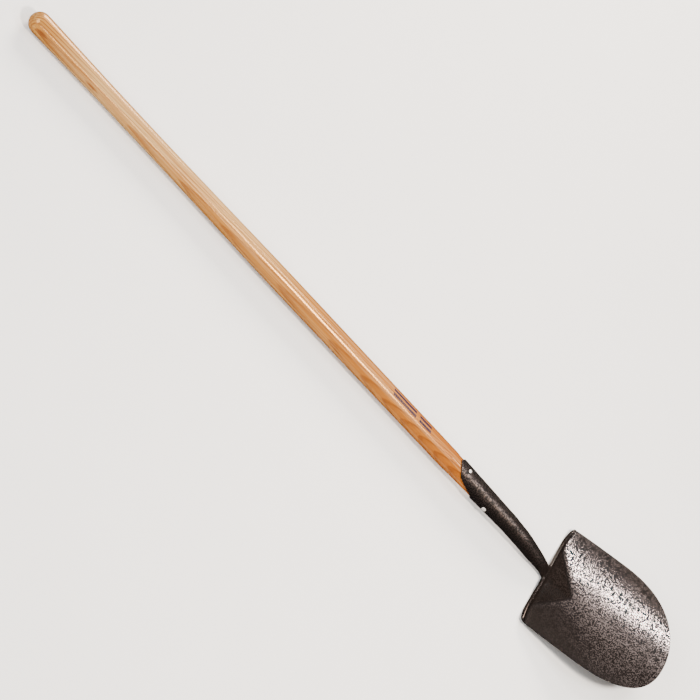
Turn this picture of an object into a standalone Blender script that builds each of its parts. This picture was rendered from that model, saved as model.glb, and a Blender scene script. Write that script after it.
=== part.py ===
"""Round point shovel: a one-piece forged head on a long ash handle, held by a nail and a rivet.

It lies on its back: +X runs along the handle to the blade's tip, +Z is the blade's front (hollow) side.
Every shape is made in the handle's own frame, with the handle's axis on X and the butt at X = 0.
An empty then lays the whole tool on its three contact points, the butt and the heels of the blade.
"""

import math

import bmesh
import bpy
import numpy as np
from mathutils import Vector

# Handle, metres. Each section is a distance from the butt and a radius.
HANDLE_LENGTH = 1.220
BUTT_RADIUS = 0.0188
HANDLE_RADIUS = 0.01905
GRIP_RADIUS = 0.0169
HANDLE_SECTIONS = (
    (0.040, BUTT_RADIUS),
    (0.110, 0.0178),
    (0.200, GRIP_RADIUS),
    (0.310, GRIP_RADIUS),
    (0.440, 0.0178),
    (0.600, HANDLE_RADIUS),
    (1.034, HANDLE_RADIUS),
)
HANDLE_SIDES = 40
BUTT_RINGS = 8

# Socket: a plain cone around the handle's tapered seat.
SEAT_START = 1.050
SEAT_RADIUS = 0.0182
SEAT_TAPER = 0.0247
FIT_GAP = 0.0003
WALL = 0.0022
BORE_END = 1.2235
SOCKET_SIDES = 40
SOCKET_RINGS = 7

# The slanted mouth: a broad tongue on the front side, lowest on the back.
MOUTH_LOW = 1.112
TONGUE_TIP = 1.0485
TONGUE_CROWN = 0.0195
TONGUE_TURN = math.radians(12)
TONGUE_HALF = math.radians(70)
TONGUE_FOOT_HALF = math.radians(130)
TONGUE_CORNER = math.radians(6)
MOUTH_BLEND_END = 1.130

# Shank, from the end of the cone into the blade: X, centre height, half width, half depth.
CONE_END = 1.203
SHANK_SECTIONS = (
    (CONE_END, -0.0006, 0.0169, 0.0169),
    (1.234, -0.0030, 0.0160, 0.0162),
    (1.266, -0.0080, 0.0146, 0.0139),
    (1.285, -0.0108, 0.0130, 0.0118),
    (1.297, -0.0133, 0.0123, 0.0100),
    (1.306, -0.0163, 0.0127, 0.0083),
    (1.314, -0.0193, 0.0136, 0.0062),
    (1.324, -0.0213, 0.0140, 0.0040),
    (1.340, -0.0196, 0.0090, 0.0012),
)

# Blade, in its own frame: u from the shoulder to the tip, v across, w out of the front side.
BLADE_X = 1.3122
BLADE_Z = -0.0182
BLADE_LIFT = math.radians(16.4)
BLADE_LENGTH = 0.2680
BLADE_HALF_WIDTH = 0.1112
CORNER_HALF_WIDTH = 0.1095
SHOULDER_FLAT_HALF = 0.078
CORNER_DROP = 0.0025
CORNER_RADIUS = 0.010
WIDEST_AT = 0.112
POINT_ROUNDNESS_U = 2.42
POINT_ROUNDNESS_V = 2.19
BOWL_AT_SHOULDER = 0.0142
BOWL_AT_TIP = 0.0224
SHEET = 0.0021

# Frog: the low three-sided rise in which the shank runs out over the blade.
FROG_TOP = 0.0012
FROG_HALF_WIDTH = 0.071
FROG_LENGTH = 0.065
FROG_CREST_ROUNDING = 0.007
FROG_FOOT_ROUNDING = 0.0012
CORE_DEPTH = 0.0078
CORE_HALF_WIDTH = 0.017
CORE_LENGTH = 0.070

# Foot step: the shoulder edge, turned a little towards the front.
STEP_HEIGHT = 0.0032
STEP_FALLOFF = 0.0028

BLADE_CENTRE = (0.105, 0.0)
BLADE_RINGS = (0.16, 0.32, 0.46, 0.58, 0.69, 0.78, 0.86, 0.92, 0.96, 0.982, 1.0)

# Fastenings: a nail through the tongue, and a rivet across the socket.
NAIL_X = 1.0727
NAIL_RADIUS = 0.0018
NAIL_LENGTH = 0.0290
NAIL_POINT = 0.0060
NAIL_HEAD = (0.0032, 0.0016)
RIVET_X = 1.1406
RIVET_RADIUS = 0.0026
RIVET_HEAD = (0.0044, 0.0018)
RIVET_DIMPLE = (0.0015, 0.0008)
HEAD_LIFT = 0.0001
FASTENER_SIDES = 24


def clear_scene():
    for obj in list(bpy.data.objects):
        bpy.data.objects.remove(obj, do_unlink=True)


def material(name, color, metallic, roughness):
    made = bpy.data.materials.new(name)
    made.use_nodes = True
    shader = made.node_tree.nodes["Principled BSDF"]
    shader.inputs["Base Color"].default_value = (*color, 1.0)
    shader.inputs["Metallic"].default_value = metallic
    shader.inputs["Roughness"].default_value = roughness
    return made


def mesh_object(name, bm, surface=None, helper=False):
    """Makes an object of the bmesh: closed, facing out, and smooth shaded up to 35 degrees."""
    bmesh.ops.recalc_face_normals(bm, faces=bm.faces)
    for face in bm.faces:
        face.smooth = True
    mesh = bpy.data.meshes.new(name)
    bm.to_mesh(mesh)
    bm.free()
    mesh.set_sharp_from_angle(angle=math.radians(35))
    obj = bpy.data.objects.new(name, mesh)
    bpy.context.scene.collection.objects.link(obj)
    if surface:
        mesh.materials.append(surface)
    if helper:
        obj.hide_render = True
        obj.display_type = "WIRE"
    return obj


def add_ring(bm, points):
    return [bm.verts.new(point) for point in points]


def bridge(bm, first, second):
    """Joins two rings of the same length with a band of quads."""
    for i in range(len(first)):
        j = (i + 1) % len(first)
        bm.faces.new((first[i], first[j], second[j], second[i]))


def skin(bm, rings):
    for first, second in zip(rings, rings[1:]):
        bridge(bm, first, second)


def circle_angles(sides):
    return [2 * math.pi * i / sides for i in range(sides)]


def lathe_x(profile, sides):
    """A closed solid turned around X. The profile's first and last points lie on the axis."""
    bm = bmesh.new()
    start = bm.verts.new((profile[0][0], 0, 0))
    end = bm.verts.new((profile[-1][0], 0, 0))
    rings = []
    for x, radius in profile[1:-1]:
        ring = [(x, radius * math.sin(a), radius * math.cos(a)) for a in circle_angles(sides)]
        rings.append(add_ring(bm, ring))
    skin(bm, rings)
    for ring, pole in ((rings[0], start), (rings[-1], end)):
        for i in range(sides):
            bm.faces.new((ring[i], ring[(i + 1) % sides], pole))
    return bm


# Handle ------------------------------------------------------------------------------------------

def seat_radius(x):
    """The handle's radius where it is turned down for the socket."""
    return SEAT_RADIUS - SEAT_TAPER * (x - SEAT_START)


def handle_profile():
    profile = [(0.0, 0.0)]
    for i in range(1, BUTT_RINGS + 1):
        turn = math.pi / 2 * i / BUTT_RINGS
        profile.append((BUTT_RADIUS * (1 - math.cos(turn)), BUTT_RADIUS * math.sin(turn)))
    profile += HANDLE_SECTIONS
    for i in range(9):
        x = SEAT_START + (HANDLE_LENGTH - 0.003 - SEAT_START) * i / 8
        profile.append((x, seat_radius(x)))
    profile.append((HANDLE_LENGTH, seat_radius(HANDLE_LENGTH) - 0.002))
    profile.append((HANDLE_LENGTH, 0.0))
    return profile


def build_handle(surface):
    return mesh_object("handle", lathe_x(handle_profile(), HANDLE_SIDES), surface)


# Socket and shank --------------------------------------------------------------------------------

def socket_radius(x):
    """Outside radius of the socket's cone."""
    return seat_radius(x) + FIT_GAP + WALL


def mouth_edge(away):
    """The mouth's edge by the angle from the tongue's middle: its crowned end, then its hollow flank."""
    if away < TONGUE_HALF:
        return TONGUE_TIP + TONGUE_CROWN * (away / TONGUE_HALF) ** 1.2
    part = min((away - TONGUE_HALF) / (TONGUE_FOOT_HALF - TONGUE_HALF), 1.0)
    foot = TONGUE_TIP + TONGUE_CROWN
    return foot + (MOUTH_LOW - foot) * math.sin(math.pi / 2 * part)


def mouth_x(angle):
    """Where the socket's mouth lies, by the angle from the front side, its corners eased."""
    turn = angle - TONGUE_TURN
    away = abs(math.atan2(math.sin(turn), math.cos(turn)))
    near = mouth_edge(abs(away - TONGUE_CORNER))
    return (near + 2 * mouth_edge(away) + mouth_edge(away + TONGUE_CORNER)) / 4


def cone_ring(bm, place, inset):
    """One ring of the cone. Place 0 follows the slanted mouth, and place 1 is square to the axis."""
    points = []
    for angle in circle_angles(SOCKET_SIDES):
        x = mouth_x(angle) * (1 - place) + MOUTH_BLEND_END * place
        radius = socket_radius(x) - inset
        points.append((x, radius * math.sin(angle), radius * math.cos(angle)))
    return add_ring(bm, points)


def section_ring(bm, x, height, half_width, half_depth):
    points = []
    for angle in circle_angles(SOCKET_SIDES):
        points.append((x, half_width * math.sin(angle), height + half_depth * math.cos(angle)))
    return add_ring(bm, points)


def build_shank():
    """The hollow socket and the solid shank below it, as one closed body."""
    bm = bmesh.new()
    outside = [cone_ring(bm, i / 4, 0.0) for i in range(5)]
    for i in range(1, SOCKET_RINGS):
        x = MOUTH_BLEND_END + (CONE_END - MOUTH_BLEND_END) * i / SOCKET_RINGS
        radius = socket_radius(x)
        outside.append(section_ring(bm, x, 0.0, radius, radius))
    outside += [section_ring(bm, *section) for section in SHANK_SECTIONS]
    inside = [cone_ring(bm, i / 4, WALL) for i in range(5)]
    for i in range(1, SOCKET_RINGS + 1):
        x = MOUTH_BLEND_END + (BORE_END - MOUTH_BLEND_END) * i / SOCKET_RINGS
        radius = socket_radius(x) - WALL
        inside.append(section_ring(bm, x, 0.0, radius, radius))
    skin(bm, outside)
    skin(bm, inside)
    bridge(bm, outside[0], inside[0])
    bm.faces.new(outside[-1])
    bm.faces.new(inside[-1])
    return mesh_object("shank_helper", bm, helper=True)


# Blade -------------------------------------------------------------------------------------------

def half_outline():
    """The blade's outline from the middle of the shoulder round one side to the tip, as (u, v)."""
    points = [(0.0, SHOULDER_FLAT_HALF * i / 6) for i in range(7)]
    corner_start = CORNER_HALF_WIDTH - CORNER_RADIUS
    points.append((CORNER_DROP * 0.4, (SHOULDER_FLAT_HALF + corner_start) / 2))
    for i in range(6):
        turn = math.pi / 2 * i / 5
        u = CORNER_DROP + CORNER_RADIUS * (1 - math.cos(turn))
        points.append((u, corner_start + CORNER_RADIUS * math.sin(turn)))
    side_start = CORNER_DROP + CORNER_RADIUS
    for i in range(1, 8):
        part = i / 7
        u = side_start + (WIDEST_AT - side_start) * part
        v = CORNER_HALF_WIDTH + (BLADE_HALF_WIDTH - CORNER_HALF_WIDTH) * (1 - (1 - part) ** 2)
        points.append((u, v))
    for i in range(1, 21):
        turn = math.pi / 2 * i / 20
        u = WIDEST_AT + (BLADE_LENGTH - WIDEST_AT) * math.sin(turn) ** (2 / POINT_ROUNDNESS_U)
        v = BLADE_HALF_WIDTH * max(math.cos(turn), 0.0) ** (2 / POINT_ROUNDNESS_V)
        points.append((u, v if i < 20 else 0.0))
    return points


def full_outline():
    half = half_outline()
    return half + [(u, -v) for u, v in reversed(half[1:-1])]


def shoulder_line(v):
    """How far the shoulder edge lies from the flat step's line, at v across."""
    beyond = max(abs(v) - SHOULDER_FLAT_HALF, 0.0)
    return CORNER_DROP * beyond / (BLADE_HALF_WIDTH - SHOULDER_FLAT_HALF)


def front_height(u, v):
    """The front surface: a bowl, the frog rising out of it, and the turned step."""
    depth = BOWL_AT_SHOULDER + (BOWL_AT_TIP - BOWL_AT_SHOULDER) * u / BLADE_LENGTH
    bowl = depth * (1 - (v / BLADE_HALF_WIDTH) ** 2)
    across = math.hypot(v, FROG_CREST_ROUNDING) - FROG_CREST_ROUNDING
    rise = (BOWL_AT_SHOULDER + FROG_TOP) * (1 - across / FROG_HALF_WIDTH - u / FROG_LENGTH)
    frog = 0.5 * (rise + math.hypot(rise, FROG_FOOT_ROUNDING))
    step = STEP_HEIGHT * math.exp(-(((u - shoulder_line(v)) / STEP_FALLOFF) ** 2))
    return frog - bowl + step


def back_height(u, v):
    """The back surface: a sheet behind the front, with the shank's solid core behind the frog."""
    step = STEP_HEIGHT * math.exp(-(((u - shoulder_line(v)) / STEP_FALLOFF) ** 2))
    core = CORE_DEPTH * math.exp(-((v / CORE_HALF_WIDTH) ** 2)) * max(1 - u / CORE_LENGTH, 0.0) ** 2
    return front_height(u, v) - step - SHEET - core


def blade_point(u, v, w):
    """From the blade's frame to the handle's frame."""
    x = BLADE_X + u * math.cos(BLADE_LIFT) - w * math.sin(BLADE_LIFT)
    z = BLADE_Z + u * math.sin(BLADE_LIFT) + w * math.cos(BLADE_LIFT)
    return Vector((x, v, z))


def blade_side(bm, height):
    """One face of the blade: rings that shrink from the outline to its centre. Returns the outer ring."""
    centre_u, centre_v = BLADE_CENTRE
    outline = full_outline()
    rings = []
    for scale in BLADE_RINGS:
        ring = []
        for u, v in outline:
            u = centre_u + (u - centre_u) * scale
            v = centre_v + (v - centre_v) * scale
            ring.append(blade_point(u, v, height(u, v)))
        rings.append(add_ring(bm, ring))
    skin(bm, rings)
    middle = bm.verts.new(blade_point(centre_u, centre_v, height(centre_u, centre_v)))
    inner = rings[0]
    for i in range(len(inner)):
        bm.faces.new((inner[i], inner[(i + 1) % len(inner)], middle))
    return rings[-1]


def build_head(surface, shank, cutters):
    """The blade with the shank and socket forged on, drilled for the nail and the rivet."""
    bm = bmesh.new()
    bridge(bm, blade_side(bm, front_height), blade_side(bm, back_height))
    head = mesh_object("shovel_head", bm, surface)
    boolean(head, shank, "UNION")
    for cutter in cutters:
        boolean(head, cutter, "DIFFERENCE")
    return head


def boolean(obj, other, operation):
    modifier = obj.modifiers.new(other.name, "BOOLEAN")
    modifier.object = other
    modifier.operation = operation
    modifier.solver = "EXACT"


# Fastenings --------------------------------------------------------------------------------------

def dome(base, top, radius):
    """Profile points of a low domed head, from its rim to near its top."""
    points = []
    for i in range(5):
        turn = math.pi / 2 * i / 5
        points.append((base + (top - base) * math.sin(turn), radius * math.cos(turn)))
    return points


def build_nail(surface):
    """A round-headed nail, driven in from the front through the tongue."""
    seat = socket_radius(NAIL_X) + HEAD_LIFT
    radius, height = NAIL_HEAD
    tip = seat - NAIL_LENGTH
    profile = [(tip, 0.0), (tip + NAIL_POINT, NAIL_RADIUS), (seat, NAIL_RADIUS)]
    profile += dome(seat, seat + height, radius)
    profile.append((seat + height, 0.0))
    nail = mesh_object("upper_nail", lathe_x(profile, FASTENER_SIDES), surface)
    nail.location.x = NAIL_X
    nail.rotation_euler.y = math.radians(-90)
    return nail


def build_rivet(surface):
    """A rivet set across the socket. Both heads are domed, with the set tool's dimple in the top."""
    seat = socket_radius(RIVET_X) + HEAD_LIFT
    radius, height = RIVET_HEAD
    dimple_radius, dimple_depth = RIVET_DIMPLE
    head = [(seat, RIVET_RADIUS)] + dome(seat, seat + height, radius)[:-1]
    head.append((seat + height, dimple_radius * 1.6))
    head.append((seat + height - dimple_depth, dimple_radius))
    profile = [(seat + height - dimple_depth, 0.0)] + head[::-1]
    profile = [(-x, r) for x, r in profile] + profile[::-1]
    rivet = mesh_object("lower_rivet", lathe_x(profile, FASTENER_SIDES), surface)
    rivet.location.x = RIVET_X
    rivet.rotation_euler.z = math.radians(90)
    return rivet


def build_cutter(name, x, radius, start, end, turn):
    """A drill through the socket and handle, from start to end along the turned axis."""
    profile = [(start, 0.0), (start, radius), (end, radius), (end, 0.0)]
    cutter = mesh_object(name, lathe_x(profile, FASTENER_SIDES), helper=True)
    cutter.location.x = x
    cutter.rotation_euler = turn
    return cutter


# Assembly ----------------------------------------------------------------------------------------

def heel_point():
    """The lowest corner of the blade's back edge, in the handle's frame."""
    edge = [blade_point(u, v, back_height(u, v)) for u, v in half_outline()]
    return min(edge, key=lambda point: point.z)


def lay_down(parts, helpers):
    """Pitches the tool until the butt and the heels touch the ground, with the origin under its middle."""
    heel = heel_point()
    butt_x = HANDLE_SECTIONS[0][0]
    pitch = math.atan2(-heel.z - BUTT_RADIUS, heel.x - butt_x)
    frame = bpy.data.objects.new("shovel_frame", None)
    bpy.context.scene.collection.objects.link(frame)
    frame.rotation_euler.y = -pitch
    for obj in parts + helpers:
        obj.parent = frame
    bpy.context.view_layer.update()
    graph = bpy.context.evaluated_depsgraph_get()
    points = []
    for part in parts:
        placed = part.evaluated_get(graph)
        points += [placed.matrix_world @ vertex.co for vertex in placed.data.vertices]
    points = np.array(points)
    low = points.min(axis=0)
    high = points.max(axis=0)
    frame.location = (-(low[0] + high[0]) / 2, -(low[1] + high[1]) / 2, -low[2])
    bpy.context.view_layer.update()


def main():
    clear_scene()
    steel = material("forged_steel", (0.060, 0.050, 0.046), 0.9, 0.42)
    ash = material("lacquered_ash", (0.62, 0.38, 0.17), 0.0, 0.35)
    bright = material("bright_steel", (0.62, 0.60, 0.57), 1.0, 0.30)

    nail_turn = (0.0, math.radians(-90), 0.0)
    rivet_turn = (0.0, 0.0, math.radians(90))
    nail_end = socket_radius(NAIL_X) - NAIL_LENGTH - 2 * FIT_GAP
    nail_hole = NAIL_RADIUS + FIT_GAP
    rivet_hole = RIVET_RADIUS + FIT_GAP
    nail_drill = build_cutter("nail_drill", NAIL_X, nail_hole, nail_end, 0.04, nail_turn)
    rivet_drill = build_cutter("rivet_drill", RIVET_X, rivet_hole, -0.04, 0.04, rivet_turn)

    handle = build_handle(ash)
    boolean(handle, nail_drill, "DIFFERENCE")
    boolean(handle, rivet_drill, "DIFFERENCE")
    head = build_head(steel, build_shank(), (nail_drill, rivet_drill))
    parts = [head, handle, build_nail(bright), build_rivet(bright)]
    helpers = [obj for obj in bpy.data.objects if obj.hide_render]
    lay_down(parts, helpers)


main()
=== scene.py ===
"""Looks of the round point shovel: fine meshes, materials, floor, lights and camera.

The pieces are made in the handle's own frame, with the handle's axis on X and the butt at X = 0.
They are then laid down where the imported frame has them. Lengths are in metres, colours are linear.
"""

import math
import bmesh
import bpy
import numpy as np
from mathutils import Matrix, Quaternion, Vector, noise
from mathutils.bvhtree import BVHTree


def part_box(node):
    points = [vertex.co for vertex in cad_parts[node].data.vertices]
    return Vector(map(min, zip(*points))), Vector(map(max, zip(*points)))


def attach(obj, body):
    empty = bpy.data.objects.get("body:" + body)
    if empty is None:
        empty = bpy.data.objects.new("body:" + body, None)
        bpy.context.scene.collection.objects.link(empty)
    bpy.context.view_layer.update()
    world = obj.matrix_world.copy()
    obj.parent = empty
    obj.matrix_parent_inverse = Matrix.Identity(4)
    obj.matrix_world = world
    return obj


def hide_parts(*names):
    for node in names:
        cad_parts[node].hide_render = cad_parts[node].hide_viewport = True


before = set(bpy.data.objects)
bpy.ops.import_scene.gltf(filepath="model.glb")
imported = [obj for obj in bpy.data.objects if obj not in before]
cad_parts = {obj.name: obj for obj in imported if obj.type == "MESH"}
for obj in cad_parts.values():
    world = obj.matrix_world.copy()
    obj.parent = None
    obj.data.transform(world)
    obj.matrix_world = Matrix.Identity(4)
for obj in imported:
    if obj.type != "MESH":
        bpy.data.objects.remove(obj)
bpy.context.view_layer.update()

# Handle. Each section is a distance from the butt and a radius.
HANDLE_LENGTH = 1.220
BUTT_RADIUS = 0.0188
HANDLE_RADIUS = 0.01905
GRIP_RADIUS = 0.0169
HANDLE_SECTIONS = (
    (0.040, BUTT_RADIUS),
    (0.110, 0.0178),
    (0.200, GRIP_RADIUS),
    (0.310, GRIP_RADIUS),
    (0.440, 0.0178),
    (0.600, HANDLE_RADIUS),
    (1.034, HANDLE_RADIUS),
)
HANDLE_SIDES = 128
BUTT_RINGS = 24
HANDLE_RINGS = 160
SEAT_RINGS = 23
END_CHAMFER = (0.003, 0.002)
WOBBLE = 0.00012
WOBBLE_END = 1.03
# How far the handle tilts where the shovel lies on the ground
HANDLE_PITCH = math.radians(0.350177)

# Socket: a plain cone around the handle's tapered seat
SEAT_START = 1.050
SEAT_RADIUS = 0.0182
SEAT_TAPER = 0.0247
FIT_GAP = 0.0003
WALL = 0.0022
BORE_END = 1.2235
SOCKET_SIDES = 160
MOUTH_RINGS = 16
CONE_RINGS = 20
BORE_RINGS = 8

# The slanted mouth: a broad tongue on the front side, lowest on the back
MOUTH_LOW = 1.112
TONGUE_TIP = 1.0485
TONGUE_CROWN = 0.0195
TONGUE_CROWN_POWER = 1.2
TONGUE_TURN = math.radians(12)
TONGUE_HALF = math.radians(70)
TONGUE_FOOT_HALF = math.radians(130)
TONGUE_CORNER = math.radians(6)
MOUTH_BLEND_END = 1.130
MOUTH_BEVEL = 0.0006

# The groove down the back, where the socket was rolled shut
SEAM_DEPTH = 0.0007
SEAM_HALF_WIDTH = 0.0010
SEAM_END = 1.245
SEAM_FADE = 0.015

# Shank: X, centre height, half width, half depth
CONE_END = 1.203
SHANK_SECTIONS = (
    (CONE_END, -0.0006, 0.0169, 0.0169),
    (1.234, -0.0030, 0.0160, 0.0162),
    (1.266, -0.0080, 0.0146, 0.0139),
    (1.285, -0.0108, 0.0130, 0.0118),
    (1.297, -0.0133, 0.0123, 0.0100),
    (1.306, -0.0163, 0.0127, 0.0083),
    (1.314, -0.0193, 0.0136, 0.0062),
    (1.324, -0.0213, 0.0140, 0.0040),
    (1.340, -0.0196, 0.0090, 0.0012),
)
SHANK_RINGS = 60

# Blade: u from the shoulder to the tip, v across, w out of the front side
BLADE_X = 1.3122
BLADE_Z = -0.0182
BLADE_LIFT = math.radians(16.4)
BLADE_LENGTH = 0.2680
BLADE_HALF_WIDTH = 0.1112
CORNER_HALF_WIDTH = 0.1095
SHOULDER_FLAT_HALF = 0.078
CORNER_DROP = 0.0025
CORNER_DROP_POWER = 1.6
CORNER_RADIUS = 0.010
WIDEST_AT = 0.112
POINT_ROUNDNESS_U = 2.42
POINT_ROUNDNESS_V = 2.19
BOWL_AT_SHOULDER = 0.0142
BOWL_AT_TIP = 0.0224
SHEET = 0.0021
EDGE_BEVEL = 0.0007

# Frog: the low three-sided rise in which the shank runs out, and the core of metal behind it
FROG_TOP = 0.0012
FROG_HALF_WIDTH = 0.071
FROG_LENGTH = 0.065
FROG_CREST_ROUNDING = 0.007
FROG_FOOT_ROUNDING = 0.0012
CORE_DEPTH = 0.0078
CORE_HALF_WIDTH = 0.017
CORE_LENGTH = 0.070

# Foot step: a ridge just inside the shoulder's edge, and how it rolls off on either side
STEP_HEIGHT = 0.0032
STEP_CREST = 0.0042
STEP_ROLL = 0.0030
STEP_FALLOFF = 0.0028

# Points along each stretch of the half outline, before they are spaced evenly
SHOULDER_POINTS = 40
DROP_POINTS = 11
CORNER_POINTS = 16
SIDE_POINTS = 45
TIP_POINTS = 120
OUTLINE_SPACING = 0.0022

# The blade's rings are the outline scaled about its centre, closer together near the edge
BLADE_CENTRE = (0.105, 0.0)
FIELD_RINGS = 56
FIELD_SCALES = (0.03, 0.955)
FIELD_POWER = 0.85
EDGE_RINGS = 14

# The fillet where the shank runs into the blade
FILLET_SPAN = (1.285, 1.36)
FILLET_REACH = 0.0055
FILLET_PULL = 0.6
FILLET_ROUNDS = 30

# Fastenings. A head is a radius and a height, and a dimple a radius and a depth.
NAIL_X = 1.0727
NAIL_RADIUS = 0.0018
NAIL_LENGTH = 0.0290
NAIL_POINT = 0.006
NAIL_HEAD = (0.0032, 0.0016)
RIVET_X = 1.1406
RIVET_RADIUS = 0.0026
RIVET_HEAD = (0.0044, 0.0018)
RIVET_DIMPLE = (0.0022, 0.0009)
DIMPLE_RINGS = 6
DOME_RINGS = 12
HEAD_LIFT = 0.0001
HEAD_EDGE = (0.0003, 0.0004)
FASTENER_SIDES = 64

# Steel
SCALE_BROWN = (0.0050, 0.0034, 0.0027, 1.0)
BARE_STEEL = (0.37, 0.29, 0.265, 1.0)
BRIGHT_STEEL = (0.78, 0.76, 0.73, 1.0)
GRIMY_STEEL = (0.42, 0.39, 0.36, 1.0)

# Growth rings: the pith lies beside the handle, and leans away from it, faster past a bend
PITH = (0.062, -0.020)
RING_WIDTH = 0.0034
RING_SLANT = 0.024
RING_BEND_FROM = 0.72
RING_BEND = 0.13
RING_WANDER = 0.0052
# Across one ring: a position, and how dark the wood is there
RING_STOPS = ((0.0, 1.0), (0.16, 0.95), (0.32, 0.36), (0.58, 0.06), (0.94, 0.0), (1.0, 1.0))

# Ash. A pair is the colour in the first half of the handle and the one near the socket.
# The inner pale lies on the lit +Y side and the outer pale on the shaded -Y side: painted light and
# shade over the wood's tone
INNER_PALE_LIT_SIDE = ((0.47, 0.250, 0.074, 1.0), (0.42, 0.190, 0.034, 1.0))
OUTER_PALE_SHADED_SIDE = ((0.42, 0.195, 0.036, 1.0), (0.35, 0.112, 0.009, 1.0))
RING_DARK = ((0.175, 0.054, 0.009, 1.0), (0.125, 0.026, 0.0026, 1.0))
DEEP_TONE = ((0.29, 0.110, 0.022, 1.0), (0.25, 0.068, 0.008, 1.0))
SAPWOOD_PALE = (0.60, 0.40, 0.165, 1.0)
SAPWOOD_DARK = (0.36, 0.190, 0.070, 1.0)
LIGHT_STREAK = (0.56, 0.34, 0.155, 1.0)
FIBRE_BROWN = (0.235, 0.078, 0.014, 1.0)
PORE_BROWN = (0.10, 0.034, 0.010, 1.0)
KNOT_BROWN = (0.170, 0.048, 0.010, 1.0)
LACQUER_TINT = (1.0, 0.58, 0.28, 1.0)
# Pin knots: middle in the handle's frame, half length, half width
KNOTS = (
    ((0.030, -0.0170, 0.0070), 0.015, 0.0066),
    ((0.148, -0.0165, 0.0058), 0.022, 0.0036),
)

# Printed mark: a plain double line with a gap in its length
MARK_X = 0.924
MARK_HALF_LENGTH = 0.048
MARK_GAP_X = 0.938
MARK_HALF_GAP = 0.0045
MARK_SLANT = 0.35
MARK_HALF_WIDTH = 0.0056
MARK_BETWEEN_LINES = 0.0030
MARK_COVER = 0.95
MARK_INK = (0.005, 0.007, 0.034, 1.0)

# Studio
FLOOR_HALF = 14.0
FLOOR_TONES = ((0.86, 0.86, 0.86, 1.0), (0.90, 0.90, 0.90, 1.0))
SKY = (0.95, 0.97, 1.0, 1.0)
SKY_STRENGTH = 0.10
WHITE = (1.0, 1.0, 1.0)
WARM = (1.0, 0.88, 0.76)
# Name, place, point that it faces, size, power, colour, turn about its own axis in degrees
LIGHTS = (
    # The streak down the blade, and the softer glow beside it
    ("key", (0.535, 0.76, 2.3), (0.62, 0.0, 0.0), (0.66, 0.12), 19.0, WHITE, -56.0),
    ("glow", (0.60, 1.35, 2.2), (0.62, 0.0, 0.0), (0.8, 0.6), 1.7, WHITE, 0.0),
    # The bright line along the handle, its run towards the butt, and the broad shine beside it
    ("line", (0.62, -0.72, 2.35), (0.2, 0.0, 0.0), (0.42, 0.36), 105.0, WARM, 0.0),
    ("far", (0.05, -2.26, 1.97), (-0.5, 0.0, 0.0), (0.70, 0.25), 24.0, WARM, 0.0),
    ("side", (-0.675, 2.65, 1.41), (-0.5, 0.0, 0.0), (1.65, 1.2), 225.0, WARM, 0.0),
    # The rest is soft light on the socket, the blade's dark side and the floor
    ("top", (1.45, 0.15, 2.3), (0.4, 0.0, 0.0), (0.35, 0.35), 24.0, WHITE, 0.0),
    ("rim", (-0.55, 2.00, 2.0), (0.5, 0.0, 0.0), (1.2, 0.8), 6.0, WHITE, 0.0),
    ("panel", (0.95, 2.40, 1.6), (0.65, 0.0, 0.0), (1.0, 2.0), 2.2, WHITE, 0.0),
    ("fill", (-3.0, -1.6, 2.2), (0.0, 0.0, 0.0), (2.0, 2.0), 190.0, WHITE, 0.0),
)

# The camera that the photograph's outline was fitted with
CAMERA_PLACE = Vector((-1.8922, -3.4916, 4.4977))
CAMERA_RIGHT = Vector((0.64644, 0.44515, 0.61964))
CAMERA_UP = Vector((-0.69519, 0.67829, 0.23798))
CAMERA_LENS = 185.0
CAMERA_SENSOR = 36.0
CAMERA_FAR = 60.0


# Mesh helpers ------------------------------------------------------------------------------------

def placement():
    """From the handle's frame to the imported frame, through the rivet's middle on the axis."""
    low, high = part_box("lower_rivet")
    middle = (Vector(low) + Vector(high)) / 2
    turn = Matrix.Rotation(-HANDLE_PITCH, 4, "Y")
    return Matrix.Translation(middle - turn @ Vector((RIVET_X, 0, 0))) @ turn


def mesh_object(name, bm, sharp_degrees=40):
    bmesh.ops.recalc_face_normals(bm, faces=bm.faces)
    for face in bm.faces:
        face.smooth = True
    mesh = bpy.data.meshes.new(name)
    bm.to_mesh(mesh)
    bm.free()
    mesh.set_sharp_from_angle(angle=math.radians(sharp_degrees))
    obj = bpy.data.objects.new(name, mesh)
    bpy.context.scene.collection.objects.link(obj)
    return obj


def apply_modifiers(obj):
    graph = bpy.context.evaluated_depsgraph_get()
    mesh = bpy.data.meshes.new_from_object(obj.evaluated_get(graph))
    obj.modifiers.clear()
    old = obj.data
    obj.data = mesh
    bpy.data.meshes.remove(old)
    mesh.name = obj.name


def add_ring(bm, points):
    return [bm.verts.new(point) for point in points]


def bridge(bm, first, second):
    for i in range(len(first)):
        j = (i + 1) % len(first)
        bm.faces.new((first[i], first[j], second[j], second[i]))


def skin(bm, rings):
    for first, second in zip(rings, rings[1:]):
        bridge(bm, first, second)


def ring_edges(ring):
    edges = []
    for i in range(len(ring)):
        following = ring[(i + 1) % len(ring)]
        edges.append(next(e for e in ring[i].link_edges if e.other_vert(ring[i]) is following))
    return edges


def circle_angles(sides):
    return [2 * math.pi * i / sides for i in range(sides)]


def signed_angle(angle):
    """The same angle, between half a turn one way and half a turn the other."""
    return math.atan2(math.sin(angle), math.cos(angle))


def lathe_x(profile, sides, wobble=None):
    """A closed solid turned around X, whose profile starts and ends on the axis."""
    bm = bmesh.new()
    start = bm.verts.new((profile[0][0], 0, 0))
    end = bm.verts.new((profile[-1][0], 0, 0))
    rings = []
    for x, radius in profile[1:-1]:
        ring = []
        for a in circle_angles(sides):
            r = radius + (wobble(x, a) if wobble else 0.0)
            ring.append((x, r * math.sin(a), r * math.cos(a)))
        rings.append(add_ring(bm, ring))
    skin(bm, rings)
    for ring, pole in ((rings[0], start), (rings[-1], end)):
        for i in range(sides):
            bm.faces.new((ring[i], ring[(i + 1) % sides], pole))
    return bm


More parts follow.
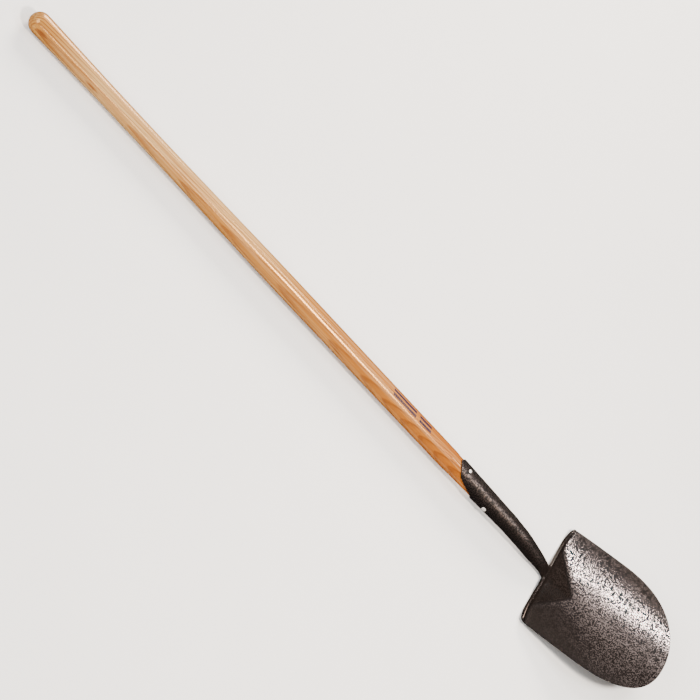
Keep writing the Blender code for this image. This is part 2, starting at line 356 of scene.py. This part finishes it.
def smooth_curve(sections, x):
    """The sections' values at x, on a Catmull-Rom curve through them."""
    xs = [section[0] for section in sections]
    i = min(max(np.searchsorted(xs, x) - 1, 0), len(xs) - 2)
    span = xs[i + 1] - xs[i]
    t = (x - xs[i]) / span
    before = sections[max(i - 1, 0)]
    after = sections[min(i + 2, len(xs) - 1)]
    values = []
    for k in range(1, len(sections[0])):
        a = sections[i][k]
        b = sections[i + 1][k]
        rise_a = (b - before[k]) / (xs[i + 1] - before[0]) * span
        rise_b = (after[k] - a) / (after[0] - xs[i]) * span
        values.append(
            a * (2 * t**3 - 3 * t**2 + 1) + rise_a * (t**3 - 2 * t**2 + t)
            + b * (3 * t**2 - 2 * t**3) + rise_b * (t**3 - t**2)
        )
    return values


# Handle ------------------------------------------------------------------------------------------

def seat_radius(x):
    return SEAT_RADIUS - SEAT_TAPER * (x - SEAT_START)


def handle_profile():
    profile = [(0.0, 0.0)]
    for i in range(1, BUTT_RINGS + 1):
        turn = math.pi / 2 * i / BUTT_RINGS
        profile.append((BUTT_RADIUS * (1 - math.cos(turn)), BUTT_RADIUS * math.sin(turn)))
    first = HANDLE_SECTIONS[0][0]
    last = HANDLE_SECTIONS[-1][0]
    for i in range(1, HANDLE_RINGS + 1):
        x = first + (last - first) * i / HANDLE_RINGS
        profile.append((x, smooth_curve(HANDLE_SECTIONS, x)[0]))
    chamfer, bite = END_CHAMFER
    for i in range(SEAT_RINGS + 1):
        x = SEAT_START + (HANDLE_LENGTH - chamfer - SEAT_START) * i / SEAT_RINGS
        profile.append((x, seat_radius(x)))
    profile.append((HANDLE_LENGTH, seat_radius(HANDLE_LENGTH) - bite))
    profile.append((HANDLE_LENGTH, 0.0))
    return profile


def hand_sanding(x, angle):
    """Hand-sanded wood is never quite round. The butt's pole and the seat stay true."""
    along = noise.noise(Vector((x * 9, math.sin(angle) * 0.8, math.cos(angle) * 0.8)))
    return WOBBLE * along * min(1.0, max(0.0, (WOBBLE_END - x) / 0.05)) * min(1.0, x / 0.02)


def build_handle():
    return mesh_object("ash_handle", lathe_x(handle_profile(), HANDLE_SIDES, hand_sanding))


# Socket and shank --------------------------------------------------------------------------------

def socket_radius(x):
    return seat_radius(x) + FIT_GAP + WALL


def mouth_edge(away):
    """The mouth's edge by the angle from the tongue's middle: crowned end, then hollow flank."""
    if away < TONGUE_HALF:
        return TONGUE_TIP + TONGUE_CROWN * (away / TONGUE_HALF) ** TONGUE_CROWN_POWER
    part = min((away - TONGUE_HALF) / (TONGUE_FOOT_HALF - TONGUE_HALF), 1.0)
    foot = TONGUE_TIP + TONGUE_CROWN
    return foot + (MOUTH_LOW - foot) * math.sin(math.pi / 2 * part)


def mouth_x(angle):
    """Where the socket's mouth lies, by the angle from the front side, its corners eased."""
    away = abs(signed_angle(angle - TONGUE_TURN))
    near = mouth_edge(abs(away - TONGUE_CORNER))
    return (near + 2 * mouth_edge(away) + mouth_edge(away + TONGUE_CORNER)) / 4


def seam(x, angle, radius):
    """Depth of the groove down the back."""
    away = (math.pi - abs(signed_angle(angle))) * radius
    fade = min(1.0, max(0.0, (SEAM_END - x) / SEAM_FADE))
    return SEAM_DEPTH * fade * math.exp(-((away / SEAM_HALF_WIDTH) ** 2))


def cone_ring(bm, place, inset):
    """One ring between the slanted mouth, at place 0, and the first square ring, at place 1."""
    points = []
    for angle in circle_angles(SOCKET_SIDES):
        x = mouth_x(angle) * (1 - place) + MOUTH_BLEND_END * place
        radius = socket_radius(x) - inset
        if not inset:
            radius -= seam(x, angle, radius)
        points.append((x, radius * math.sin(angle), radius * math.cos(angle)))
    return add_ring(bm, points)


def section_ring(bm, x, height, half_width, half_depth, grooved=True):
    points = []
    for angle in circle_angles(SOCKET_SIDES):
        cut = seam(x, angle, half_width) if grooved else 0.0
        y = (half_width - cut) * math.sin(angle)
        points.append((x, y, height + (half_depth - cut) * math.cos(angle)))
    return add_ring(bm, points)


def build_shank():
    bm = bmesh.new()
    outside = [cone_ring(bm, i / MOUTH_RINGS, 0.0) for i in range(MOUTH_RINGS + 1)]
    for i in range(1, CONE_RINGS):
        x = MOUTH_BLEND_END + (CONE_END - MOUTH_BLEND_END) * i / CONE_RINGS
        outside.append(section_ring(bm, x, 0.0, socket_radius(x), socket_radius(x)))
    last = SHANK_SECTIONS[-1][0]
    for i in range(SHANK_RINGS + 1):
        x = CONE_END + (last - CONE_END) * i / SHANK_RINGS
        outside.append(section_ring(bm, x, *smooth_curve(SHANK_SECTIONS, x)))
    inside = [cone_ring(bm, i / MOUTH_RINGS, WALL) for i in range(MOUTH_RINGS + 1)]
    for i in range(1, BORE_RINGS + 1):
        x = MOUTH_BLEND_END + (BORE_END - MOUTH_BLEND_END) * i / BORE_RINGS
        radius = socket_radius(x) - WALL
        inside.append(section_ring(bm, x, 0.0, radius, radius, grooved=False))
    skin(bm, outside)
    skin(bm, inside)
    bridge(bm, outside[0], inside[0])
    bm.faces.new(outside[-1])
    bm.faces.new(inside[-1])
    rim = ring_edges(outside[0]) + ring_edges(inside[0])
    bmesh.ops.bevel(bm, geom=rim, offset=MOUTH_BEVEL, segments=3, profile=0.6, affect="EDGES")
    return mesh_object("shank", bm)


# Blade -------------------------------------------------------------------------------------------

def half_outline():
    """Half of the blade's outline: the shoulder, its corner, the side and the point."""
    points = []
    for i in range(SHOULDER_POINTS + 1):
        points.append((0.0, SHOULDER_FLAT_HALF * i / SHOULDER_POINTS))
    corner_start = CORNER_HALF_WIDTH - CORNER_RADIUS
    for i in range(1, DROP_POINTS):
        part = i / DROP_POINTS
        v = SHOULDER_FLAT_HALF + (corner_start - SHOULDER_FLAT_HALF) * part
        points.append((CORNER_DROP * part**CORNER_DROP_POWER, v))
    for i in range(CORNER_POINTS + 1):
        turn = math.pi / 2 * i / CORNER_POINTS
        u = CORNER_DROP + CORNER_RADIUS * (1 - math.cos(turn))
        points.append((u, corner_start + CORNER_RADIUS * math.sin(turn)))
    side_start = CORNER_DROP + CORNER_RADIUS
    for i in range(1, SIDE_POINTS + 1):
        part = i / SIDE_POINTS
        u = side_start + (WIDEST_AT - side_start) * part
        v = CORNER_HALF_WIDTH + (BLADE_HALF_WIDTH - CORNER_HALF_WIDTH) * (1 - (1 - part) ** 2)
        points.append((u, v))
    for i in range(1, TIP_POINTS):
        turn = math.pi / 2 * i / TIP_POINTS
        u = WIDEST_AT + (BLADE_LENGTH - WIDEST_AT) * math.sin(turn) ** (2 / POINT_ROUNDNESS_U)
        points.append((u, BLADE_HALF_WIDTH * math.cos(turn) ** (2 / POINT_ROUNDNESS_V)))
    points.append((BLADE_LENGTH, 0.0))
    return even_spacing(points)


def even_spacing(points):
    """The same outline with its points moved to an even spacing, corners kept within a spacing."""
    points = np.array(points)
    steps = np.linalg.norm(np.diff(points, axis=0), axis=1)
    along = np.concatenate([[0.0], np.cumsum(steps)])
    places = np.linspace(0.0, along[-1], int(along[-1] / OUTLINE_SPACING))
    return [(np.interp(p, along, points[:, 0]), np.interp(p, along, points[:, 1])) for p in places]


def full_outline():
    half = half_outline()
    return half + [(u, -v) for u, v in reversed(half[1:-1])]


def shoulder_line(v):
    beyond = max(abs(v) - SHOULDER_FLAT_HALF, 0.0)
    return CORNER_DROP * beyond / (BLADE_HALF_WIDTH - SHOULDER_FLAT_HALF)


def step_height(u, v):
    """The turned step: a rounded ridge whose crest lies just inside the shoulder's edge."""
    beyond = u - shoulder_line(v) - STEP_CREST
    reach = STEP_FALLOFF if beyond > 0 else STEP_ROLL
    return STEP_HEIGHT * math.exp(-((beyond / reach) ** 2))


def front_height(u, v):
    depth = BOWL_AT_SHOULDER + (BOWL_AT_TIP - BOWL_AT_SHOULDER) * u / BLADE_LENGTH
    bowl = depth * (1 - (v / BLADE_HALF_WIDTH) ** 2)
    across = math.hypot(v, FROG_CREST_ROUNDING) - FROG_CREST_ROUNDING
    rise = (BOWL_AT_SHOULDER + FROG_TOP) * (1 - across / FROG_HALF_WIDTH - u / FROG_LENGTH)
    frog = 0.5 * (rise + math.hypot(rise, FROG_FOOT_ROUNDING))
    return frog - bowl + step_height(u, v)


def back_height(u, v):
    core = CORE_DEPTH * math.exp(-((v / CORE_HALF_WIDTH) ** 2)) * max(1 - u / CORE_LENGTH, 0.0) ** 2
    return front_height(u, v) - step_height(u, v) - SHEET - core


def blade_point(u, v, w):
    x = BLADE_X + u * math.cos(BLADE_LIFT) - w * math.sin(BLADE_LIFT)
    z = BLADE_Z + u * math.sin(BLADE_LIFT) + w * math.cos(BLADE_LIFT)
    return Vector((x, v, z))


def ring_scales():
    first, last = FIELD_SCALES
    field = [first + (last - first) * (i / FIELD_RINGS) ** FIELD_POWER for i in range(FIELD_RINGS)]
    return field + [last + (1 - last) * i / EDGE_RINGS for i in range(EDGE_RINGS + 1)]


def blade_side(bm, height):
    centre_u, centre_v = BLADE_CENTRE
    outline = full_outline()
    rings = []
    for scale in ring_scales():
        ring = []
        for u, v in outline:
            u = centre_u + (u - centre_u) * scale
            v = centre_v + (v - centre_v) * scale
            ring.append(blade_point(u, v, height(u, v)))
        rings.append(add_ring(bm, ring))
    skin(bm, rings)
    bm.faces.new(rings[0])
    return rings[-1]


def build_blade():
    bm = bmesh.new()
    front = blade_side(bm, front_height)
    back = blade_side(bm, back_height)
    bridge(bm, front, back)
    rim = ring_edges(front) + ring_edges(back)
    bmesh.ops.bevel(bm, geom=rim, offset=EDGE_BEVEL, segments=3, profile=0.55, affect="EDGES")
    return mesh_object("blade", bm)


# Head: blade and shank joined, with the two fastenings' holes -------------------------------------

def build_drill(x, radius, start, end, turn):
    profile = [(start, 0.0), (start, radius), (end, radius), (end, 0.0)]
    drill = mesh_object("drill", lathe_x(profile, FASTENER_SIDES))
    drill.location.x = x
    drill.rotation_euler = turn
    return drill


def boolean(obj, other, operation):
    modifier = obj.modifiers.new(operation, "BOOLEAN")
    modifier.object = other
    modifier.operation = operation
    modifier.solver = "EXACT"


def world_tree(obj):
    points = [obj.matrix_world @ vertex.co for vertex in obj.data.vertices]
    return BVHTree.FromPolygons(points, [face.vertices[:] for face in obj.data.polygons])


def blend_joint(obj, trees):
    """Relaxes the mesh near the line where two joined shapes meet, as the forging's fillet."""
    mesh = obj.data
    count = len(mesh.vertices)
    points = np.empty(count * 3)
    mesh.vertices.foreach_get("co", points)
    points = points.reshape(-1, 3)
    weight = np.zeros(count)
    for i, point in enumerate(points):
        if FILLET_SPAN[0] < point[0] < FILLET_SPAN[1]:
            far = max(tree.find_nearest(Vector(point))[3] for tree in trees)
            weight[i] = max(0.0, 1 - far / FILLET_REACH)
    edges = np.empty(len(mesh.edges) * 2, np.int64)
    mesh.edges.foreach_get("vertices", edges)
    edges = edges.reshape(-1, 2)
    edges = edges[(weight[edges] > 0).any(axis=1)]
    degree = np.zeros(count)
    np.add.at(degree, edges[:, 0], 1)
    np.add.at(degree, edges[:, 1], 1)
    degree = np.maximum(degree, 1)[:, None]
    pull = (weight * FILLET_PULL)[:, None]
    for _ in range(FILLET_ROUNDS):
        total = np.zeros_like(points)
        np.add.at(total, edges[:, 0], points[edges[:, 1]])
        np.add.at(total, edges[:, 1], points[edges[:, 0]])
        points += pull * (total / degree - points)
    mesh.vertices.foreach_set("co", points.ravel())
    mesh.update()


def build_head():
    blade = build_blade()
    shank = build_shank()
    bpy.context.view_layer.update()
    trees = (world_tree(blade), world_tree(shank))
    drills = [
        build_drill(NAIL_X, NAIL_RADIUS + FIT_GAP, 0.0, 0.04, (0.0, math.radians(-90), 0.0)),
        build_drill(RIVET_X, RIVET_RADIUS + FIT_GAP, -0.04, 0.04, (0.0, 0.0, math.radians(90))),
    ]
    blade.name = "forged_head"
    boolean(blade, shank, "UNION")
    apply_modifiers(blade)
    blend_joint(blade, trees)
    for drill in drills:
        boolean(blade, drill, "DIFFERENCE")
    apply_modifiers(blade)
    blade.data.set_sharp_from_angle(angle=math.radians(50))
    for helper in [shank] + drills:
        bpy.data.objects.remove(helper, do_unlink=True)
    return blade


# Fastenings --------------------------------------------------------------------------------------

def head_profile(seat, radius, height):
    """A domed head's side, from under its rim to just short of its top."""
    inset, rim = HEAD_EDGE
    points = [(seat, radius - inset)]
    for i in range(DOME_RINGS):
        turn = math.pi / 2 * i / DOME_RINGS
        x = seat + rim + (height - rim) * math.sin(turn)
        points.append((x, radius * math.cos(turn)))
    return points


def build_nail():
    seat = socket_radius(NAIL_X) + HEAD_LIFT
    radius, height = NAIL_HEAD
    tip = seat - NAIL_LENGTH
    profile = [(tip, 0.0), (tip + NAIL_POINT, NAIL_RADIUS), (seat, NAIL_RADIUS)]
    profile += head_profile(seat, radius, height) + [(seat + height, 0.0)]
    nail = mesh_object("tongue_nail", lathe_x(profile, FASTENER_SIDES))
    nail.location.x = NAIL_X
    nail.rotation_euler.y = math.radians(-90)
    return nail


def build_rivet():
    """Both heads are domed, with the rolled-over ring and dimple that the setting tool leaves."""
    seat = socket_radius(RIVET_X) + HEAD_LIFT
    radius, height = RIVET_HEAD
    dimple, depth = RIVET_DIMPLE
    side = [(seat, RIVET_RADIUS)]
    side += [(x, r) for x, r in head_profile(seat, radius, height) if r > dimple]
    for i in range(DIMPLE_RINGS):
        part = i / DIMPLE_RINGS
        x = seat + height - depth * math.sin(math.pi / 2 * part)
        side.append((x, dimple * (1 - part)))
    side.append((seat + height - depth, 0.0))
    profile = [(-x, r) for x, r in reversed(side)] + side
    rivet = mesh_object("cross_rivet", lathe_x(profile, FASTENER_SIDES))
    rivet.location.x = RIVET_X
    rivet.rotation_euler.z = math.radians(90)
    return rivet


# Materials ---------------------------------------------------------------------------------------

class Nodes:
    """A short way to write a node tree."""

    def __init__(self, name):
        self.material = bpy.data.materials.new(name)
        self.material.use_nodes = True
        self.tree = self.material.node_tree
        self.shader = self.tree.nodes["Principled BSDF"]

    def put(self, value, socket):
        if isinstance(value, bpy.types.NodeSocket):
            self.tree.links.new(value, socket)
        else:
            socket.default_value = value

    def add(self, kind, output=0, inputs=(), **settings):
        node = self.tree.nodes.new("ShaderNode" + kind)
        for key, value in settings.items():
            setattr(node, key, value)
        for key, value in dict(inputs).items():
            self.put(value, node.inputs[key])
        return node.outputs[output]

    def place(self):
        """The point's place in the object's own coordinates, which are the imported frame's."""
        return self.add("TexCoord", 3)

    def split(self, vector):
        return self.add("SeparateXYZ", inputs={0: vector}).node.outputs

    def math(self, operation, a, b=0.0, c=0.0):
        return self.add("Math", operation=operation, inputs={0: a, 1: b, 2: c})

    def map(self, value, low, high, to_low=0.0, to_high=1.0):
        names = {"Value": value, "From Min": low, "From Max": high,
                 "To Min": to_low, "To Max": to_high}
        return self.add("MapRange", inputs=names)

    def mix(self, factor, a, b):
        return self.add("Mix", 2, data_type="RGBA", inputs={0: factor, 6: a, 7: b})

    def noise(self, vector, scale, detail=2.0, roughness=0.5, distortion=0.0):
        names = {"Vector": vector, "Scale": scale, "Detail": detail, "Roughness": roughness,
                 "Distortion": distortion}
        return self.add("TexNoise", inputs=names)

    def grain(self, vector, along, across, detail, roughness):
        """Noise drawn out along X, with its scales along and across the grain."""
        names = {"Vector": vector, "Scale": (along, across, across)}
        return self.noise(self.add("Mapping", inputs=names), 1.0, detail, roughness)

    def ramp(self, value, stops):
        output = self.add("ValToRGB", inputs={0: value})
        ramp = output.node.color_ramp
        while len(ramp.elements) < len(stops):
            ramp.elements.new(0.5)
        for element, (position, grey) in zip(ramp.elements, stops):
            element.position = position
            element.color = (grey, grey, grey, 1.0)
        return output

    def bump(self, height, strength, distance):
        names = {"Height": height, "Strength": strength, "Distance": distance}
        return self.add("Bump", inputs=names)

    def set(self, **inputs):
        for key, value in inputs.items():
            self.put(value, self.shader.inputs[key.replace("_", " ")])


def handle_frame(n):
    """Where a point lies in the handle's own frame."""
    lay = placement()
    names = {"Vector": n.place(), "Location": lay.translation, "Rotation": lay.to_euler()}
    return n.add("Mapping", vector_type="TEXTURE", inputs=names)


def blade_frame(n, place):
    """The blade's own u, v and w at a point given in the handle's frame."""
    x, y, z = n.split(place)
    x = n.math("SUBTRACT", x, BLADE_X)
    z = n.math("SUBTRACT", z, BLADE_Z)
    cosine = math.cos(BLADE_LIFT)
    sine = math.sin(BLADE_LIFT)
    u = n.math("MULTIPLY_ADD", x, cosine, n.math("MULTIPLY", z, sine))
    w = n.math("MULTIPLY_ADD", z, cosine, n.math("MULTIPLY", x, -sine))
    return u, y, w


def steel_material():
    """Forging scale under clear lacquer: a dark brown skin, worn through to grey in flecks. Where
    the flecks fall also carries painted shade and a painted highlight.
    """
    n = Nodes("forged_steel")
    place = handle_frame(n)
    x = n.split(place)[0]
    u, v, w = blade_frame(n, place)
    patch = n.noise(place, 100.0, 3.0, 0.6, 0.6)
    fleck = n.noise(place, 390.0, 1.2, 0.5)
    grit = n.noise(place, 900.0, 1.0, 0.5)
    mottle = n.math("ADD", n.math("MULTIPLY", fleck, 0.78), n.math("MULTIPLY", grit, 0.22))
    mottle = n.math("ADD", mottle, n.math("MULTIPLY", n.math("SUBTRACT", patch, 0.5), 0.24))
    # The bare-steel mask: wear, with painted shade and a painted highlight in where it falls
    worn_with_painted_light = n.math("MAXIMUM", scale_wear_and_shade(n, place, u, v, mottle), step_wear_and_highlight(n, u, v, w, mottle))
    n.set(Base_Color=n.mix(worn_with_painted_light, SCALE_BROWN, BARE_STEEL))
    n.set(Metallic=n.map(worn_with_painted_light, 0.0, 0.12))
    smooth = n.map(mottle, 0.38, 0.64, 0.25, 0.15)
    duller_shank = n.map(x, 1.285, 1.335, 0.20, 0.0)
    n.set(Roughness=n.math("ADD", smooth, duller_shank))
    n.set(Specular_IOR_Level=0.14)
    n.set(Normal=n.bump(mottle, 0.28, 0.0004))
    return n.material


def scale_wear_and_shade(n, place, u, v, mottle):
    """Worn flecks, most on the point and one side, few on the shank. Fewer on the frog, by the
    shoulder, on the other side and in bands either side of the middle: painted shade that keeps
    those parts dark.
    """
    frog = n.math("SUBTRACT", 1.0, n.math("DIVIDE", n.math("ABSOLUTE", v), FROG_HALF_WIDTH))
    frog = n.math("SUBTRACT", frog, n.math("DIVIDE", u, FROG_LENGTH))
    # Painted shade: fewer bare flecks by the shoulder and on the -v side, which lie in shade
    rub_and_shade = n.map(n.math("MULTIPLY_ADD", v, 1.3, u), -0.09, 0.13, 0.20, 1.0)
    # Painted shade: the frog is kept nearly all dark scale
    rub_and_shade = n.math("MULTIPLY", rub_and_shade, n.map(frog, -0.07, 0.04, 1.0, 0.05))
    shank = n.map(u, -0.006, -0.020, 0.0, 0.26)
    # Painted shade: fewer bare flecks in bands to either side of the middle
    shade_thinning = n.math("ADD", n.map(v, 0.015, 0.075, 0.0, 0.034), n.map(v, -0.01, -0.06, 0.0, 0.018))
    worn_with_painted_light = n.map(n.math("SUBTRACT", mottle, shade_thinning), 0.480, 0.540)
    broad = n.noise(place, 14.0, 3.0, 0.6)
    worn_with_painted_light = n.math("MULTIPLY", worn_with_painted_light, n.map(broad, 0.32, 0.62, 0.50, 1.0))
    return n.math("MULTIPLY", worn_with_painted_light, n.math("MAXIMUM", rub_and_shade, shank))


def step_wear_and_highlight(n, u, v, w, mottle):
    """The turned step's crest, rubbed bare by boots, most on the -v side: wear, and also a painted
    highlight as a bright line along that edge.
    """
    away = n.math("ABSOLUTE", n.math("SUBTRACT", u, STEP_CREST - 0.0004))
    crest = n.map(away, 0.0016, 0.0008)
    front = n.map(w, -0.010, -0.007)
    # Painted highlight: more bare steel on the -v side of the step
    highlit_side = n.map(v, 0.01, -0.02, 0.02, 0.17)
    bare = n.math("MULTIPLY", n.math("MULTIPLY", crest, front), n.map(mottle, 0.36, 0.50, 0.3, 1.0))
    return n.math("MULTIPLY", bare, highlit_side)


def wood_material():
    """Plain-sawn ash: rings cut at a slant, fibres and pores along the grain, clear lacquer."""
    n = Nodes("lacquered_ash")
    place = handle_frame(n)
    x, y, z = n.split(place)
    wander = n.math("SUBTRACT", n.grain(place, 3.0, 34.0, 2.5, 0.55), 0.5)
    fibre = n.grain(place, 8.0, 760.0, 3.0, 0.6)
    pore = n.map(n.grain(place, 110.0, 2300.0, 1.0, 0.5), 0.56, 0.70)
    tone = n.grain(place, 2.4, 62.0, 2.0, 0.5)
    streak = n.grain(place, 3.2, 250.0, 2.0, 0.55)
    radius = pith_distance(n, x, y, z, wander)
    ring = n.ramp(n.math("FRACT", n.math("DIVIDE", radius, RING_WIDTH)), RING_STOPS)
    ripe = n.map(x, 0.55, 1.05)
    color = ring_color(n, x, y, radius, ring, ripe)
    deep = n.mix(ripe, *DEEP_TONE)
    color = n.mix(n.map(tone, 0.42, 0.64, 0.0, 0.60), color, deep)
    color = n.mix(n.map(streak, 0.50, 0.66, 0.0, 0.50), color, deep)
    color = n.mix(n.map(streak, 0.48, 0.34, 0.0, 0.28), color, LIGHT_STREAK)
    color = n.mix(n.map(fibre, 0.42, 0.68, 0.0, 0.38), color, FIBRE_BROWN)
    pores = n.math("MULTIPLY", n.math("MULTIPLY", pore, ring), 0.55)
    color = n.mix(pores, color, PORE_BROWN)
    for knot in KNOTS:
        color = n.mix(knot_shade(n, place, wander, *knot), color, KNOT_BROWN)
    color = n.mix(ink_mark(n, x, y, z), color, MARK_INK)
    n.set(Base_Color=color, Roughness=0.21, Specular_IOR_Level=0.80)
    n.set(Specular_Tint=LACQUER_TINT)
    relief = n.math("ADD", n.math("MULTIPLY", fibre, 0.5), n.math("MULTIPLY", pore, -0.5))
    n.set(Normal=n.bump(relief, 0.05, 0.0002))
    return n.material


def pith_distance(n, x, y, z, wander):
    """How far a point lies from the pith, which leans and bends away along the handle."""
    pith_y = n.math("SUBTRACT", y, PITH[0])
    pith_z = n.math("SUBTRACT", z, PITH[1])
    square = n.math("ADD", n.math("MULTIPLY", pith_y, pith_y), n.math("MULTIPLY", pith_z, pith_z))
    bend = n.math("MAXIMUM", n.math("SUBTRACT", x, RING_BEND_FROM), 0.0)
    lean = n.math("MULTIPLY", x, RING_SLANT)
    slant = n.math("MULTIPLY_ADD", n.math("MULTIPLY", bend, bend), RING_BEND, lean)
    radius = n.math("ADD", n.math("SQRT", square), slant)
    return n.math("ADD", radius, n.math("MULTIPLY", wander, RING_WANDER))


def ring_color(n, x, y, radius, ring, ripe):
    """Pale wood and the dark line of each ring, both lighter in the sapwood near the butt. Paler on
    the +Y side, which is the lit side, deeper orange on the -Y side, and the sapwood reaching
    further on the +Y side: painted light and shade over the wood's own tone.
    """
    # Painted light and shade: the ground turns from the pale of the lit +Y side to the deeper orange
    # of the shaded -Y side
    outer_shaded_side = n.map(radius, 0.072, 0.086)
    pale = n.mix(outer_shaded_side, n.mix(ripe, *INNER_PALE_LIT_SIDE), n.mix(ripe, *OUTER_PALE_SHADED_SIDE))
    # Painted light: the sapwood's pale reaches further along the handle on the lit +Y side
    aside = n.map(y, -0.006, -0.015, 0.0, 0.22)
    sapwood_and_lit_side = n.map(n.math("ADD", x, aside), 0.66, 0.34)
    sapwood_and_lit_side = n.math("MULTIPLY", sapwood_and_lit_side, n.map(x, 0.04, 0.16))
    pale = n.mix(sapwood_and_lit_side, pale, SAPWOOD_PALE)
    dark = n.mix(sapwood_and_lit_side, n.mix(ripe, *RING_DARK), SAPWOOD_DARK)
    return n.mix(n.math("MULTIPLY", ring, 0.92), pale, dark)


def knot_shade(n, place, wander, middle, half_length, half_width):
    """A pin knot: a small dark eye drawn out along the grain."""
    scale = (1 / half_length, 1 / half_width, 1 / half_width)
    away = n.add("VectorMath", operation="SUBTRACT", inputs={0: place, 1: middle})
    away = n.add("VectorMath", operation="MULTIPLY", inputs={0: away, 1: scale})
    far = n.add("VectorMath", 1, operation="LENGTH", inputs={0: away})
    far = n.math("ADD", far, n.math("MULTIPLY", wander, 1.2))
    return n.map(far, 1.0, 0.45, 0.0, 0.85)


def ink_mark(n, x, y, z):
    """A plain printed mark on the front of the handle: two runs of a double line, no lettering."""
    across = n.math("MULTIPLY", n.math("ARCTAN2", y, z), HANDLE_RADIUS)
    aside = n.math("ABSOLUTE", across)
    lines = n.math("LESS_THAN", aside, MARK_HALF_WIDTH)
    lines = n.math("MULTIPLY", lines, n.math("GREATER_THAN", aside, MARK_BETWEEN_LINES / 2))
    run = n.math("MULTIPLY_ADD", across, MARK_SLANT, x)
    from_middle = n.math("ABSOLUTE", n.math("SUBTRACT", run, MARK_X))
    from_gap = n.math("ABSOLUTE", n.math("SUBTRACT", run, MARK_GAP_X))
    lines = n.math("MULTIPLY", lines, n.math("LESS_THAN", from_middle, MARK_HALF_LENGTH))
    lines = n.math("MULTIPLY", lines, n.math("GREATER_THAN", from_gap, MARK_HALF_GAP))
    return n.math("MULTIPLY", lines, MARK_COVER)


def bright_material():
    """Bright steel heads with faint hammer marks and a little grime."""
    n = Nodes("bright_steel")
    place = n.place()
    dents = n.noise(place, 900.0, 2.0, 0.6)
    grime = n.map(n.noise(place, 500.0, 3.0, 0.6), 0.45, 0.75)
    n.set(Base_Color=n.mix(grime, BRIGHT_STEEL, GRIMY_STEEL))
    n.set(Metallic=0.40, Roughness=n.map(grime, 0.0, 1.0, 0.28, 0.45))
    n.set(Normal=n.bump(dents, 0.35, 0.0004))
    return n.material


# Pieces ------------------------------------------------------------------------------------------

def build_pieces():
    lay = placement()
    steel = steel_material()
    bright = bright_material()
    made = (
        (build_head(), steel, "shovel_head", "forged_steel"),
        (build_handle(), wood_material(), "handle", "lacquered_ash"),
        (build_nail(), bright, "upper_nail", "bright_steel"),
        (build_rivet(), bright, "lower_rivet", "bright_steel"),
    )
    bpy.context.view_layer.update()
    for obj, material, node, slot in made:
        obj.data.materials.clear()
        obj.data.materials.append(material)
        obj.data.transform(lay @ obj.matrix_world)
        obj.matrix_world = Matrix.Identity(4)
        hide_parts(node)
        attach(obj, "root")


# Studio ------------------------------------------------------------------------------------------

def build_floor():
    """A plain pale floor. It is kept out of the gloss, because it would veil the dark steel."""
    bm = bmesh.new()
    bmesh.ops.create_grid(bm, x_segments=1, y_segments=1, size=FLOOR_HALF)
    floor = mesh_object("floor", bm)
    n = Nodes("floor")
    n.set(Base_Color=n.mix(n.noise(n.place(), 6.0, 3.0), *FLOOR_TONES))
    n.set(Roughness=0.9, Specular_IOR_Level=0.1)
    floor.data.materials.append(n.material)
    floor.visible_glossy = False


def area_light(name, place, aim, size, power, color, turn):
    light = bpy.data.lights.new(name, "AREA")
    light.shape = "RECTANGLE"
    light.size, light.size_y = size
    light.energy = power
    light.color = color
    obj = bpy.data.objects.new(name, light)
    bpy.context.scene.collection.objects.link(obj)
    obj.location = place
    toward = Vector(aim) - Vector(place)
    aimed = toward.to_track_quat("-Z", "Y") @ Quaternion((0.0, 0.0, 1.0), math.radians(turn))
    obj.rotation_euler = aimed.to_euler()


def build_lights():
    world = bpy.data.worlds.new("studio")
    world.use_nodes = True
    background = world.node_tree.nodes["Background"].inputs
    background["Color"].default_value = SKY
    background["Strength"].default_value = SKY_STRENGTH
    bpy.context.scene.world = world
    for light in LIGHTS:
        area_light(*light)


def build_camera():
    data = bpy.data.cameras.new("camera")
    data.sensor_width = CAMERA_SENSOR
    data.lens = CAMERA_LENS
    data.clip_end = CAMERA_FAR
    camera = bpy.data.objects.new("camera", data)
    bpy.context.scene.collection.objects.link(camera)
    back = CAMERA_RIGHT.cross(CAMERA_UP)
    turn = Matrix((CAMERA_RIGHT, CAMERA_UP, back)).transposed().to_4x4()
    camera.matrix_world = Matrix.Translation(CAMERA_PLACE) @ turn
    bpy.context.scene.camera = camera


build_pieces()
build_floor()
build_lights()
build_camera()
